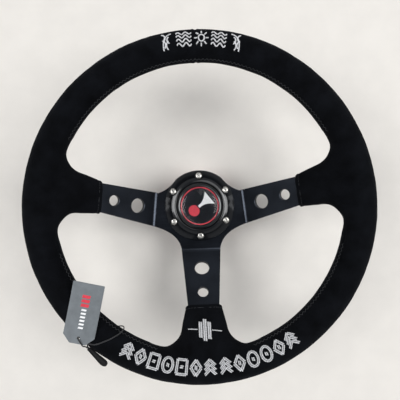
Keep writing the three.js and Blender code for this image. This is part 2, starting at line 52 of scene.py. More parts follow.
MM = 0.001
GAP = 0.3
RIM_R = 159
GRIP_R = 16
RIM_Z = 131.5
COUPLER_H = 50
PLATE_T = 4.5
PLATE_TOP = COUPLER_H + PLATE_T
PLATE_MID = COUPLER_H + PLATE_T / 2
HUB_R = 42
HUB_BORE_R = 24
BOLT_CIRCLE_R = 35
BOLT_HOLE_R = 2.75
BOLT_ANGLES = [90, 30, -30, -90, -150, 150]
BEND_AT = 53
BEND_R = 10
DISH = math.radians(37.5)
BEND_START = -BEND_R * math.tan(DISH / 2)
SPOKE_END = 126
HOLES = [(23.8, 8.4), (53.6, 5.9)]
BOOT_START = 68.5
BOOT_END = 126
UPPER = {"offset": -8.2, "slant": 0.146, "width": 40, "taper": 0.08, "boot": 17.3, "flare": 0.16}
SPOKES = {
    "right": {**UPPER, "normal": 6.1, "side": 1},
    "left": {**UPPER, "normal": 180 - 6.1, "side": -1},
    "bottom": {
        "offset": 0, "slant": 0, "width": 46, "taper": 0.095, "boot": 19.3, "flare": 0.2,
        "normal": -90, "side": 1,
    },
}
RING_BASE = PLATE_TOP + GAP
RING_TOP = RING_BASE + 8.4
SEAT_Z = RING_BASE + 3.6
CUP_BASE = 44.5
CUP_FLANGE_TOP = RING_BASE + 2.7
PRESS = 2.5
CAP_LOW = CUP_FLANGE_TOP + PRESS + 0.3
CAP_FACE = CAP_LOW + 4.6
LENS_LOW = CAP_FACE + 1.2

random.seed(7)
scene = bpy.context.scene
scene.view_settings.view_transform = "Standard"

# ---- Camera ----

camera = bpy.data.objects.new("camera", bpy.data.cameras.new("camera"))
scene.collection.objects.link(camera)
camera.data.sensor_width = 36
camera.data.lens = 35
eye = Vector((-0.0076, 0.0100, 0.5159))
target = Vector((-0.0007, 0.0073, 0.1315))
up_hint = Vector((0.0348, 0.9994, 0))
back = (eye - target).normalized()
right = up_hint.cross(back).normalized()
turn = Matrix((right, back.cross(right), back)).transposed()
camera.matrix_world = Matrix.Translation(eye) @ turn.to_4x4()
scene.camera = camera

# ---- Helpers ----


def link(mesh_or_curve, name):
    """A new object of this mesh or curve, in the scene."""
    made = bpy.data.objects.new(name, mesh_or_curve)
    scene.collection.objects.link(made)
    return made


def mesh_of(name, points, faces, smooth_under=35):
    """A mesh object from points in millimetres. Edges sharper than smooth_under degrees stay sharp."""
    mesh = bpy.data.meshes.new(name)
    mesh.from_pydata([tuple(c * MM for c in p) for p in points], [], faces)
    mesh.validate()
    made = link(mesh, name)
    outward(made)
    smooth(made, smooth_under)
    return made


def outward(obj):
    bm = bmesh.new()
    bm.from_mesh(obj.data)
    bmesh.ops.recalc_face_normals(bm, faces=bm.faces)
    bm.to_mesh(obj.data)
    bm.free()


def smooth(obj, under=35):
    obj.data.shade_smooth()
    if under < 180:
        obj.data.set_sharp_from_angle(angle=math.radians(under))


def real_mesh(obj):
    """A mesh of the object's curve, or of its mesh with the modifiers applied."""
    bpy.context.view_layer.update()
    made = obj.evaluated_get(bpy.context.evaluated_depsgraph_get())
    return bpy.data.meshes.new_from_object(made)


def apply_modifiers(obj):
    mesh = real_mesh(obj)
    obj.modifiers.clear()
    obj.data = mesh


def cut(obj, cutters, smooth_under=35):
    """Takes the cutters out of the object."""
    for cutter in cutters:
        mod = obj.modifiers.new("cut", "BOOLEAN")
        mod.operation = "DIFFERENCE"
        mod.solver = "EXACT"
        mod.object = cutter
    apply_modifiers(obj)
    for cutter in cutters:
        bpy.data.objects.remove(cutter)
    smooth(obj, smooth_under)


def finish(obj, body, look, nodes=()):
    """Gives a piece its Finish and body, and hides the CAD nodes that it stands for."""
    obj.data.materials.clear()
    obj.data.materials.append(look.material)
    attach(obj, body)
    if nodes:
        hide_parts(*nodes)


def eased(outline, radius=0.35, closed=True):
    """An outline with its corners rounded."""
    made = []
    n = len(outline)
    for i, p in enumerate(outline):
        if not closed and i in (0, n - 1):
            made.append(p)
            continue
        p = Vector(p)
        before, after = Vector(outline[i - 1]), Vector(outline[(i + 1) % n])
        a = min(radius, (before - p).length * 0.45)
        b = min(radius, (after - p).length * 0.45)
        start = p + (before - p).normalized() * a
        end = p + (after - p).normalized() * b
        for t in (0, 0.33, 0.67, 1):
            made.append(tuple((1 - t) ** 2 * start + 2 * t * (1 - t) * p + t * t * end))
    return made


def turned(name, outline, steps=96, radius=0.35):
    """A turned solid about Z from its [radius, height] outline, with eased corners."""
    on_axis = outline[0][0] == 0
    profile = eased(outline, radius, closed=not on_axis)
    points, faces = [], []
    rows = []
    for r, z in profile:
        if r < 1e-6:
            points.append((0, 0, z))
            rows.append([len(points) - 1] * steps)
            continue
        rows.append(range(len(points), len(points) + steps))
        for i in range(steps):
            a = 2 * math.pi * i / steps
            points.append((r * math.cos(a), r * math.sin(a), z))
    loops = list(zip(rows, rows[1:])) + ([] if on_axis else [(rows[-1], rows[0])])
    for low, high in loops:
        for i in range(steps):
            j = (i + 1) % steps
            corners = [low[i], low[j], high[j], high[i]]
            face = [c for k, c in enumerate(corners) if c not in corners[:k]]
            if len(face) > 2:
                faces.append(face)
    return mesh_of(name, points, faces)


def washer(inner, outer, low, high):
    """A rectangular section between two radii and two heights."""
    return [(inner, low), (outer, low), (outer, high), (inner, high)]


def rod(r, low, high, x=0.0, y=0.0, sides=40):
    """A cylinder along Z, for cutting."""
    made = turned("cutter", washer(0, r, low, high), sides, 0.0001)
    made.data.transform(Matrix.Translation((x * MM, y * MM, 0)))
    return made


def polar(r, degrees):
    return r * math.cos(math.radians(degrees)), r * math.sin(math.radians(degrees))


def spun(x, y, degrees):
    """A point turned about the origin."""
    c, k = polar(1, degrees)
    return x * c - y * k, x * k + y * c


def between(first, count, rings=2):
    """Faces that join rings of this many points, one ring after another from the first point's number."""
    made = []
    for start in range(first, first + count * (rings - 1), count):
        for i in range(count):
            a, b = start + i, start + (i + 1) % count
            made.append((a, b, b + count, a + count))
    return made


def tubes(name, paths, radius, sides=6):
    """One mesh of round threads along the paths, each with tapered ends. Points are Vectors in mm."""
    points, faces = [], []
    for path in paths:
        first = len(points)
        normal = None
        for i, p in enumerate(path):
            along = (path[min(i + 1, len(path) - 1)] - path[max(i - 1, 0)]).normalized()
            if normal is None:
                normal = along.orthogonal().normalized()
            normal = (normal - along * normal.dot(along)).normalized()
            other = along.cross(normal)
            r = radius * (0.45 if i in (0, len(path) - 1) else 1)
            for k in range(sides):
                a = 2 * math.pi * k / sides
                points.append(p + normal * (r * math.cos(a)) + other * (r * math.sin(a)))
        faces += between(first, sides, len(path))
        last = first + (len(path) - 1) * sides
        faces.append([first + k for k in reversed(range(sides))])
        faces.append([last + k for k in range(sides)])
    mesh = bpy.data.meshes.new(name)
    mesh.from_pydata([tuple(p * MM) for p in points], [], faces)
    made = link(mesh, name)
    outward(made)
    smooth(made, 80)
    return made


# ---- Materials ----


class Finish:
    """A node material round one Principled shader, with detail added by scale."""

    def __init__(self, name, color, rough, metal=0.0, **inputs):
        self.material = bpy.data.materials.new(name)
        self.material.use_nodes = True
        self.tree = self.material.node_tree
        self.shader = self.tree.nodes["Principled BSDF"]
        self.color = color
        self.shader.inputs["Base Color"].default_value = (*color, 1)
        self.shader.inputs["Roughness"].default_value = rough
        self.shader.inputs["Metallic"].default_value = metal
        for key, value in inputs.items():
            self.shader.inputs[key.replace("_", " ")].default_value = value
        self.height = None
        self.place = self.node("ShaderNodeTexCoord").outputs["Object"]

    def node(self, kind, **values):
        made = self.tree.nodes.new(kind)
        for key, value in values.items():
            if key in made.inputs:
                made.inputs[key].default_value = value
            else:
                setattr(made, key, value)
        return made

    def join(self, a, b):
        self.tree.links.new(a, b)

    def stretched(self, scale, turn=(0, 0, 0)):
        """The place stretched by scale, for grain that runs one way."""
        mapping = self.node("ShaderNodeMapping")
        mapping.inputs["Scale"].default_value = scale
        mapping.inputs["Rotation"].default_value = turn
        self.join(self.place, mapping.inputs["Vector"])
        return mapping.outputs["Vector"]

    def noise(self, per_metre, detail=4, place=None):
        made = self.node("ShaderNodeTexNoise", Scale=per_metre, Detail=detail, Roughness=0.55)
        self.join(place or self.place, made.inputs["Vector"])
        return made.outputs["Fac"]

    def ramp(self, value, stops):
        """A colour or grey ramp: stops are (position, colour)."""
        made = self.node("ShaderNodeValToRGB")
        ramp = made.color_ramp
        while len(ramp.elements) < len(stops):
            ramp.elements.new(0.5)
        for element, (at, shade) in zip(ramp.elements, stops):
            element.position = at
            element.color = (*shade, 1) if isinstance(shade, tuple) else (shade, shade, shade, 1)
        self.join(value, made.inputs["Fac"])
        return made.outputs["Color"]

    def tint(self, value, low, high, at=(0.35, 0.65)):
        """Varies the base colour between two shades of it."""
        shades = [tuple(c * k for c in self.color) for k in (low, high)]
        self.join(self.ramp(value, list(zip(at, shades))), self.shader.inputs["Base Color"])

    def rough(self, value, low, high):
        made = self.node("ShaderNodeMapRange")
        made.inputs["To Min"].default_value = low
        made.inputs["To Max"].default_value = high
        self.join(value, made.inputs["Value"])
        self.join(made.outputs["Result"], self.shader.inputs["Roughness"])

    def bump(self, value, depth_mm, strength):
        made = self.node("ShaderNodeBump", Strength=strength, Distance=depth_mm * MM)
        self.join(value, made.inputs["Height"])
        if self.height:
            self.join(self.height, made.inputs["Normal"])
        self.height = made.outputs["Normal"]
        self.join(self.height, self.shader.inputs["Normal"])

    def worn(self, rough=None, tint=None, bump=None):
        """Adds noise, each as (scale per metre, detail, low, high). A bump has its depth in millimetres and
        its strength in place of low and high."""
        if rough:
            self.rough(self.noise(*rough[:2]), *rough[2:])
        if tint:
            self.tint(self.noise(*tint[:2]), *tint[2:])
        if bump:
            self.bump(self.noise(*bump[:2]), *bump[2:])


# Suede: a short brushed nap, in soft patches that lie lighter and darker.
suede = Finish("suede", (0.0021, 0.0024, 0.0032), 0.95, Sheen_Weight=0.028, Sheen_Roughness=0.45,
               Sheen_Tint=(0.42, 0.47, 0.58, 1), Specular_IOR_Level=0.06)
patches = suede.noise(55, 5, suede.stretched((1, 1, 0.5)))
nap = suede.noise(2600, 3)
mixed = suede.node("ShaderNodeMath", operation="MULTIPLY_ADD")
suede.join(nap, mixed.inputs[0])
mixed.inputs[1].default_value = 0.6
suede.join(patches, mixed.inputs[2])
suede.tint(mixed.outputs[0], 0.45, 1.9, (0.55, 1.05))
suede.bump(nap, 0.35, 0.7)
suede.bump(suede.noise(420, 4), 0.35, 0.5)

anodised = Finish("spoke_anodised", (0.026, 0.030, 0.038), 0.2, 0.9)
brushed = anodised.noise(900, 3, anodised.stretched((0.05, 1, 0.05)))
anodised.tint(anodised.noise(24, 4), 0.75, 1.3)
anodised.rough(brushed, 0.13, 0.25)
anodised.bump(brushed, 0.05, 0.35)
anodised.bump(anodised.noise(5200, 2), 0.02, 0.25)

plate_edge = Finish("plate_edge", (0.010, 0.011, 0.013), 0.55, 0.3)
plate_edge.worn(tint=(400, 3, 0.7, 1.4), bump=(2600, 3, 0.05, 0.5))

gloss = Finish("gloss_black", (0.0025, 0.003, 0.004), 0.13, 0.0, Coat_Weight=0.15, Coat_Roughness=0.06)
gloss.worn(rough=(160, 5, 0.10, 0.2), tint=(60, 4, 0.8, 1.3), bump=(900, 2, 0.02, 0.12))

cap_gloss = Finish("cap_gloss", (0.004, 0.0045, 0.0055), 0.12, 0.0, Coat_Weight=0.5, Coat_Roughness=0.04)
cap_gloss.worn(rough=(220, 5, 0.09, 0.18), tint=(80, 4, 0.8, 1.25), bump=(700, 2, 0.02, 0.1))

zinc = Finish("bright_zinc", (0.62, 0.60, 0.56), 0.25, 1.0)
zinc.worn(rough=(900, 4, 0.18, 0.34), tint=(300, 4, 0.85, 1.1), bump=(2600, 2, 0.02, 0.2))

steel = Finish("spring_steel", (0.42, 0.43, 0.45), 0.3, 1.0)
steel.worn(rough=(1500, 3, 0.22, 0.42), tint=(200, 4, 0.75, 1.15), bump=(3000, 2, 0.02, 0.3))

ball_steel = Finish("ball_steel", (0.72, 0.73, 0.75), 0.1, 1.0)
ball_steel.worn(rough=(600, 4, 0.06, 0.16), tint=(200, 4, 0.9, 1.08))

brass = Finish("brass", (0.62, 0.43, 0.14), 0.28, 1.0)
brass.worn(rough=(700, 4, 0.2, 0.42), tint=(220, 4, 0.72, 1.12), bump=(2200, 2, 0.02, 0.25))

coupler_black = Finish("coupler_anodised", (0.014, 0.014, 0.016), 0.36, 0.85)
collar_red = Finish("collar_anodised", (0.36, 0.012, 0.022), 0.3, 0.85)
for metal, low, high, tint in ((coupler_black, 0.28, 0.46, (40, 4, 0.8, 1.4)),
                               (collar_red, 0.22, 0.42, (50, 4, 0.8, 1.15))):
    turning = metal.noise(2600, 2, metal.stretched((0.02, 0.02, 1)))
    metal.rough(turning, low, high)
    metal.worn(tint=tint)
    metal.bump(turning, 0.03, 0.3)

moulded = Finish("moulded_black", (0.02, 0.02, 0.021), 0.5)
moulded.worn(rough=(500, 4, 0.42, 0.62), tint=(90, 4, 0.8, 1.25), bump=(2400, 3, 0.06, 0.4))

seal_black = Finish("seal_black", (0.003, 0.003, 0.0035), 0.55, Specular_IOR_Level=0.2)
seal_black.worn(rough=(500, 4, 0.48, 0.66), tint=(120, 4, 0.8, 1.3), bump=(1800, 3, 0.04, 0.3))

foam = Finish("foam", (0.03, 0.03, 0.03), 0.9)
foam.worn(tint=(300, 4, 0.7, 1.4), bump=(1800, 3, 0.2, 0.6))

core_metal = Finish("core_metal", (0.5, 0.51, 0.53), 0.35, 1.0)
core_metal.worn(rough=(800, 3, 0.28, 0.45), bump=(1500, 2, 0.03, 0.3))

white_thread = Finish("white_thread", (0.62, 0.62, 0.63), 0.55, Sheen_Weight=0.25)
white_thread.worn(tint=(900, 3, 0.72, 1.12), bump=(5200, 2, 0.05, 0.6))

dark_thread = Finish("dark_thread", (0.014, 0.015, 0.018), 0.7, Sheen_Weight=0.12)
dark_thread.worn(tint=(900, 3, 0.6, 1.5), bump=(5200, 2, 0.05, 0.6))

string_cord = Finish("string", (0.010, 0.010, 0.011), 0.75, Sheen_Weight=0.15)
twist = string_cord.node("ShaderNodeTexWave", Scale=450.0, Distortion=1.5)
string_cord.join(string_cord.stretched((1, 1, 1), (0.6, 0.5, 0.8)), twist.inputs["Vector"])
string_cord.tint(twist.outputs["Fac"], 0.6, 1.6)
string_cord.bump(twist.outputs["Fac"], 0.15, 0.8)

card = Finish("tag_card", (0.125, 0.139, 0.149), 0.42, Coat_Weight=0.15, Coat_Roughness=0.3)
card.worn(rough=(300, 4, 0.36, 0.55), tint=(120, 4, 0.88, 1.12), bump=(1800, 3, 0.03, 0.3))

print_red = Finish("print_red", (0.58, 0.022, 0.045), 0.4)
print_red.worn(rough=(700, 4, 0.34, 0.5), tint=(500, 4, 0.88, 1.1))
print_white = Finish("print_white", (0.78, 0.78, 0.78), 0.42)
print_white.worn(rough=(700, 4, 0.36, 0.52), tint=(500, 4, 0.9, 1.05))
emblem_black = Finish("emblem_black", (0.006, 0.008, 0.011), 0.6, Specular_IOR_Level=0.1)
emblem_black.worn(rough=(700, 4, 0.52, 0.68), tint=(200, 4, 0.8, 1.3))

resin = Finish("clear_resin", (1, 1, 1), 0.02, Transmission_Weight=1.0, IOR=1.26)
resin.rough(resin.noise(300), 0.0, 0.04)

# ---- The tag's string ----

STRING_R = 0.6
STRING_ROUTE = [
    (-112.7, -130.4, 12.4), (-113.8, -129.1, 12.9), (-115.0, -127.6, 15.2), (-115.9, -126.1, 17.9),
    (-117.3, -123.4, 18.6), (-118.9, -120.3, 19.0), (-120.1, -118.5, 17.6), (-120.9, -118.4, 15.0),
    (-122.3, -120.1, 12.6), (-124.2, -123.3, 8.0), (-124.1, -125.8, 1.0), (-120.8, -126.9, -7.4),
    (-114.3, -126.1, -13.9), (-105.6, -124.1, -17.6), (-96.2, -121.3, -17.5), (-87.6, -118.8, -14.0),
    (-82.5, -116.9, -7.4), (-80.3, -116.4, -0.9), (-79.9, -116.3, 5.5), (-82.2, -117.9, 10.6),
    (-86.4, -119.6, 13.9), (-91.3, -121.5, 16.0), (-96.6, -123.0, 17.4), (-102.2, -124.9, 17.2),
    (-106.8, -125.5, 16.5), (-109.6, -125.0, 15.8), (-111.6, -125.6, 15.0), (-112.7, -127.1, 14.2),
    (-112.5, -128.6, 13.6), (-111.7, -129.6, 13.2),
]


def centripetal(points, per_span):
    """Points on the smooth curve through these, evenly paced in each span."""
    padded = [points[0] * 2 - points[1], *points, points[-1] * 2 - points[-2]]
    made = []
    for a, b, c, d in zip(padded, padded[1:], padded[2:], padded[3:]):
        t1 = math.sqrt((b - a).length)
        t2 = t1 + math.sqrt((c - b).length)
        t3 = t2 + math.sqrt((d - c).length)
        for i in range(per_span):
            t = t1 + (t2 - t1) * i / per_span
            ab = a + (b - a) * (t / t1)
            bc = b + (c - b) * ((t - t1) / (t2 - t1))
            cd = c + (d - c) * ((t - t2) / (t3 - t2))
            abc = ab + (bc - ab) * (t / t2)
            bcd = bc + (cd - bc) * ((t - t1) / (t3 - t1))
            made.append(abc + (bcd - abc) * ((t - t1) / (t2 - t1)))
    return [*made, points[-1]]


string_path = centripetal([Vector((x, y, RIM_Z + z)) for x, y, z in STRING_ROUTE], 6)
string_length = sum((b - a).length for a, b in zip(string_path, string_path[1:])) * MM
string_curve = bpy.data.curves.new("tag_string_cord", "CURVE")
string_curve.dimensions = "3D"
string_curve.bevel_depth = STRING_R * MM
string_curve.bevel_resolution = 3
string_curve.use_fill_caps = True
spline = string_curve.splines.new("POLY")
spline.points.add(len(string_path) - 1)
for at, p in zip(spline.points, string_path):
    at.co = (*(p * MM), 1)
string = link(string_curve, "tag_string_cord")
finish(string, "wheel", string_cord, ["tag_string"])

# ---- Spokes ----


def on_spoke(spoke, s, v, w):
    """A point of a spoke: s along the plate's middle from the bend, v across it, w out of its face."""
    bend = min(max((s - BEND_START) / BEND_R, 0), DISH)
    n = min(s, BEND_START) + BEND_R * math.sin(bend)
    z = BEND_R * (1 - math.cos(bend))
    straight = max(s - BEND_START - BEND_R * DISH, 0)
    n += straight * math.cos(bend) - w * math.sin(bend) + BEND_AT
    z += straight * math.sin(bend) + w * math.cos(bend) + PLATE_MID
    return Vector((*spun(n, v * spoke["side"], spoke["normal"]), z))


def middle(spoke, s):
    return spoke["offset"] + spoke["slant"] * s


def half_width(spoke, s):
    return max(spoke["width"] / 2 - spoke["taper"] * s, 12)


def flat_spot(spoke, s, v):
    """The same place before the plate was bent, in the flat blank."""
    return Vector(spun(BEND_AT + s, v * spoke["side"], spoke["normal"]))


def curve_to(points, control, end, steps=8):
    start, control, end = Vector(points[-1]), Vector(control), Vector(end)
    for i in range(1, steps + 1):
        t = i / steps
        points.append(tuple((1 - t) ** 2 * start + 2 * t * (1 - t) * control + t * t * end))


def blank_outline():
    """The outline of the plate as cut flat, from the right side round to the left."""
    right, bottom = SPOKES["right"], SPOKES["bottom"]
    tip = SPOKE_END + 2
    half = []
    for i in range(15):
        half.append(polar(HUB_R, 90 - 40 * i / 14))
    corner = [flat_spot(right, s, middle(right, s) + side * half_width(right, s))
              for s, side in ((BEND_START, 1), (tip, 1), (tip, -1), (BEND_START, -1))]
    curve_to(half, (half[-1][0] + 9, half[-1][1] - 12), corner[0])
    half += [tuple(c) for c in corner[1:]]
    low = flat_spot(bottom, BEND_START, middle(bottom, BEND_START) + half_width(bottom, BEND_START))
    curve_to(half, (27, -32), (abs(low.x), low.y), 12)
    end = flat_spot(bottom, tip, half_width(bottom, tip))
    half.append((abs(end.x), end.y))
    other = [(-x, y) for x, y in reversed(half)]
    return half + other[:-1]


def sheet_curve(name, thickness, outlines):
    """A flat sheet of the first outline, with the others as holes in it."""
    curve = bpy.data.curves.new(name, "CURVE")
    curve.dimensions = "2D"
    curve.fill_mode = "BOTH"
    curve.extrude = thickness / 2 * MM
    for points in outlines:
        made = curve.splines.new("POLY")
        made.points.add(len(points) - 1)
        for at, (x, y) in zip(made.points, points):
            at.co = (x * MM, y * MM, 0, 1)
        made.use_cyclic_u = True
    return curve


def circle(x, y, r, steps=48):
    return [(x + r * math.cos(2 * math.pi * i / steps), y + r * math.sin(2 * math.pi * i / steps))
            for i in range(steps)]


EDGE = 0.45  # how far the plate's edges are broken
outlines = [blank_outline(), circle(0, 0, HUB_BORE_R, 72)]
outlines += [circle(*polar(BOLT_CIRCLE_R, angle), BOLT_HOLE_R, 36) for angle in BOLT_ANGLES]
for spoke in SPOKES.values():
    for along, r in HOLES:
        outlines.append(circle(*flat_spot(spoke, along, middle(spoke, along)), r))
blank = sheet_curve("blank", PLATE_T - 2 * EDGE, outlines)
blank.bevel_depth = EDGE * MM
blank.bevel_resolution = 2
blank.offset = -EDGE * MM
blank_object = link(blank, "blank")
plate_mesh = real_mesh(blank_object)
bpy.data.objects.remove(blank_object)
bm = bmesh.new()
bm.from_mesh(plate_mesh)
bmesh.ops.remove_doubles(bm, verts=bm.verts, dist=1e-6)
for spoke in SPOKES.values():
    facing = flat_spot(spoke, 0, 0).normalized()
    out = Vector((*polar(1, spoke["normal"]), 0))
    for i in range(13):
        s = BEND_START + BEND_R * DISH * i / 12
        at = flat_spot(spoke, s, 0)
        near = [f for f in bm.faces if f.calc_center_median().xy.dot(facing) > 0.02]
        near = list({e for f in near for e in [f, *f.edges, *f.verts]})
        bmesh.ops.bisect_plane(bm, geom=near, plane_co=(at.x * MM, at.y * MM, 0), plane_no=out)
bm.normal_update()
cut_faces = [abs(f.normal.z) < 0.7 for f in bm.faces]
for vert in bm.verts:
    for spoke in SPOKES.values():
        n, across = spun(vert.co.x / MM, vert.co.y / MM, -spoke["normal"])
        s, v = n - BEND_AT, across * spoke["side"]
        if s > BEND_START - 1e-4 and abs(v - middle(spoke, s)) < spoke["width"]:
            vert.co = on_spoke(spoke, s, v, vert.co.z / MM) * MM
            break
    else:
        vert.co.z += PLATE_MID * MM
bm.to_mesh(plate_mesh)
bm.free()
plate = link(plate_mesh, "spoke_plate")
outward(plate)
smooth(plate, 12)
finish(plate, "wheel", anodised, ["spoke_frame"])
plate.data.materials.append(plate_edge.material)
for face, is_cut in zip(plate.data.polygons, cut_faces):
    face.material_index = int(is_cut)

# ---- Suede cover ----


BOOT_POINTS = 48
BOOT_WIDEST = 116
SWEEP_START = 97


def boot_half(spoke, s):
    """Half a boot's width, which sweeps out where it meets the grip."""
    s = min(s, BOOT_WIDEST)
    swept = max(s - SWEEP_START, 0) / 17
    return spoke["boot"] + spoke["flare"] * (s - BOOT_START) + 15 * swept**2.2


def oblong(t, a, b):
    """The point at angle t of a rounded oblong with these half sizes."""
    x, y = math.cos(t), math.sin(t)
    return a * math.copysign(abs(x) ** 0.5, x), b * math.copysign(abs(y) ** 0.62, y)


def boot_rings(spoke):
    """The sections of a boot, from its rolled mouth to inside the grip."""
    stations = [(BOOT_START, 1.5), (BOOT_START + 0.5, 0.5), (BOOT_START + 1.4, 0.0)]
    stations += [(s, 0.0) for s in (73, 78, 84, 90, 95, 99, 102, 105, 108, 111, 114, 117, 120, 123, BOOT_END)]
    rings = []
    for s, inset in stations:
        a = boot_half(spoke, s) - inset
        b = min(5.2 + 0.17 * (s - BOOT_START), 12.6) - inset
        ring = []
        for i in range(BOOT_POINTS):
            v, w = oblong(2 * math.pi * i / BOOT_POINTS, a, b)
            ring.append(on_spoke(spoke, s, middle(spoke, s) + v, w))
        rings.append(ring)
    return rings


def on_grip(theta, phi, over=0.0):
    """A point over the grip: theta round the rim and phi round its section, in degrees."""
    t, p = math.radians(theta), math.radians(phi)
    r = RIM_R + (GRIP_R + over) * math.cos(p)
    return Vector((r * math.cos(t), r * math.sin(t), RIM_Z + (GRIP_R + over) * math.sin(p)))


def cover_parts():
    points, faces = [], []
    around, across = 144, 32
    for i in range(around):
        for j in range(across):
            points.append(on_grip(360 * i / around, 360 * j / across, -0.35))
            a, b = i * across + j, i * across + (j + 1) % across
            c, d = (b + across) % (around * across), (a + across) % (around * across)
            faces.append((a, b, c, d))
    for spoke in SPOKES.values():
        rings = boot_rings(spoke)
        first = len(points)
        for ring in rings:
            points += ring
        faces += between(first, BOOT_POINTS, len(rings))
        faces.append(list(range(first, first + BOOT_POINTS)))
        faces.append(list(range(len(points) - BOOT_POINTS, len(points))))
    return points, faces


VOXEL = 1.25
cover = mesh_of("suede_cover", *cover_parts(), smooth_under=180)
remesh = cover.modifiers.new("remesh", "REMESH")
remesh.mode = "VOXEL"
remesh.voxel_size = VOXEL * MM
apply_modifiers(cover)


def rows_of(items, value, size, kind=float):
    """A value of each vertex or edge of a mesh, one to a row."""
    made = np.empty(len(items) * size, dtype=kind)
    items.foreach_get(value, made)
    return made.reshape(-1, size)


count = len(cover.data.vertices)
co = rows_of(cover.data.vertices, "co", 3) / MM
edges = rows_of(cover.data.edges, "vertices", 2, np.int64)
degree = np.bincount(edges.ravel(), minlength=count)[:, None]


def relaxed(co, weight, times):
    """The points drawn towards their neighbours' middle, by weight."""
    for _ in range(times):
        total = np.zeros_like(co)
        np.add.at(total, edges[:, 0], co[edges[:, 1]])
        np.add.at(total, edges[:, 1], co[edges[:, 0]])
        co = co + (total / degree - co) * weight[:, None]
    return co


def spoke_places(spoke, co):
    """Each point's s, v and w on a spoke, taking the plate as straight beyond the bend."""
    base = np.array(on_spoke(spoke, 60, 0, 0))
    along = np.array(on_spoke(spoke, 61, 0, 0)) - base
    across = np.array(on_spoke(spoke, 60, 1, 0)) - base
    out = np.array(on_spoke(spoke, 60, 0, 1)) - base
    d = co - base
    return 60 + d @ along, d @ across, d @ out


def bell(x, width):
    return np.exp(-((x / width) ** 2))


SEAM_PHI = 162  # the seam runs a little above the grip's innermost line
SEAM_STITCH = 1.9
HEM = BOOT_START + 4.6
co = relaxed(co, np.full(count, 0.5), 3)
joint = np.zeros(count)
for spoke in SPOKES.values():
    s, v, w = spoke_places(spoke, co)
    near = (np.abs(v - middle(spoke, s)) < boot_half(spoke, BOOT_WIDEST) + 8) & (np.abs(w) < 26)
    joint = np.maximum(joint, near * np.clip((s - 88) / 14, 0, 1) * np.clip((138 - s) / 12, 0, 1))
co = relaxed(co, 0.6 * joint, 46)

# Grooves and folds: the panel joint at 12 o'clock, the inner seam and each boot's hem.
cover.data.vertices.foreach_set("co", (co * MM).ravel())
cover.data.update()
normals = rows_of(cover.data.vertices, "normal", 3)
rho = np.hypot(co[:, 0], co[:, 1])
push = np.zeros(count)
rim_part = (rho > RIM_R - GRIP_R - 3) & (np.abs(co[:, 2] - RIM_Z) < GRIP_R + 3)
push -= 0.75 * bell(co[:, 0], 0.9) * ((co[:, 1] > 0) & rim_part)
push += 0.25 * (bell(co[:, 0] - 2.4, 1.4) + bell(co[:, 0] + 2.4, 1.4)) * ((co[:, 1] > 0) & rim_part)
inner = (rho < RIM_R - 10) & (joint < 0.02) & rim_part
seam_rise = co[:, 2] - RIM_Z - GRIP_R * math.sin(math.radians(180 - SEAM_PHI))
push -= 0.55 * bell(seam_rise, 1.0) * inner
push += 0.3 * (bell(seam_rise - 2.4, 1.3) + bell(seam_rise + 2.4, 1.3)) * inner
for spoke in SPOKES.values():
    s, v, w = spoke_places(spoke, co)
    at_hem = (s > BOOT_START - 2) & (s < 100) & (np.abs(w) < 16) & (np.abs(v - middle(spoke, s)) < 40)
    push += at_hem * (-0.55 * bell(s - HEM, 0.8) + 0.35 * bell(s - HEM + 2.2, 1.6))
lumps = np.array([noise.noise(Vector(p) * 0.045) + 0.5 * noise.noise(Vector(p) * 0.13) for p in co])
push += 0.28 * lumps - 0.1
co = co + normals * push[:, None]
cover.data.vertices.foreach_set("co", (co * MM).ravel())
cover.data.update()
smooth(cover, 180)
finish(cover, "wheel", suede, ["suede_wrap"])

bm = bmesh.new()
bm.from_mesh(cover.data)
skin = BVHTree.FromBMesh(bm)
bm.free()


def on_skin(point, inward, over=0.0):
    """The place on the suede under a point, along inward, raised a little. In millimetres."""
    inward = inward.normalized()
    hit = skin.ray_cast((point - inward * 6) * MM, inward, 30 * MM)[0]
    return (hit / MM if hit else point) - inward * over


def grip_skin(theta, phi, over=0.0):
    outside = on_grip(theta, phi)
    return on_skin(outside, on_grip(theta, phi, -1) - outside, over)


# ---- Stitching ----


def seam_stitches(name, start, end, node):
    """A thread laced to and fro along the inside of the grip."""
    steps = int(math.radians(abs(end - start)) * (RIM_R - GRIP_R - 1) / SEAM_STITCH)
    path = []
    for i in range(steps + 1):
        theta = start + (end - start) * i / steps
        path.append(grip_skin(theta, SEAM_PHI + (4.4 if i % 2 else -4.4), 0.22))
    seam = tubes(name, [path], 0.3)
    finish(seam, "wheel", dark_thread, [node])


seam_stitches("seam_stitches_top", 29, 151, "seam_thread_top")
seam_stitches("seam_stitches_right", -16, -71, "seam_thread_right")
seam_stitches("seam_stitches_left", 196, 251, "seam_thread_left")

for side, spoke in SPOKES.items():
    s = HEM
    stitches = []
    turns = 40
    for i in range(turns):
        path = []
        for part in (0, 0.3, 0.6):
            t = 2 * math.pi * (i + part) / turns
            v, w = oblong(t, boot_half(spoke, s), 5.9)
            outside = on_spoke(spoke, s, middle(spoke, s) + v * 1.1, w * 1.1)
            inside = on_spoke(spoke, s, middle(spoke, s) + v * 0.9, 0)
            path.append(on_skin(outside, inside - outside, 0.12 if part == 0.3 else 0.0))
        stitches.append(path)
    hem_line = tubes("hem_stitches_" + side, stitches, 0.28)
    finish(hem_line, "wheel", dark_thread, ["hem_thread_" + side])

# ---- Embroidery: plain ornaments in satin stitch ----


def arc_points(x, y, rx, ry, start, end, steps=14):
    return [(x + rx * math.cos(math.radians(start + (end - start) * i / steps)),
             y + ry * math.sin(math.radians(start + (end - start) * i / steps))) for i in range(steps + 1)]


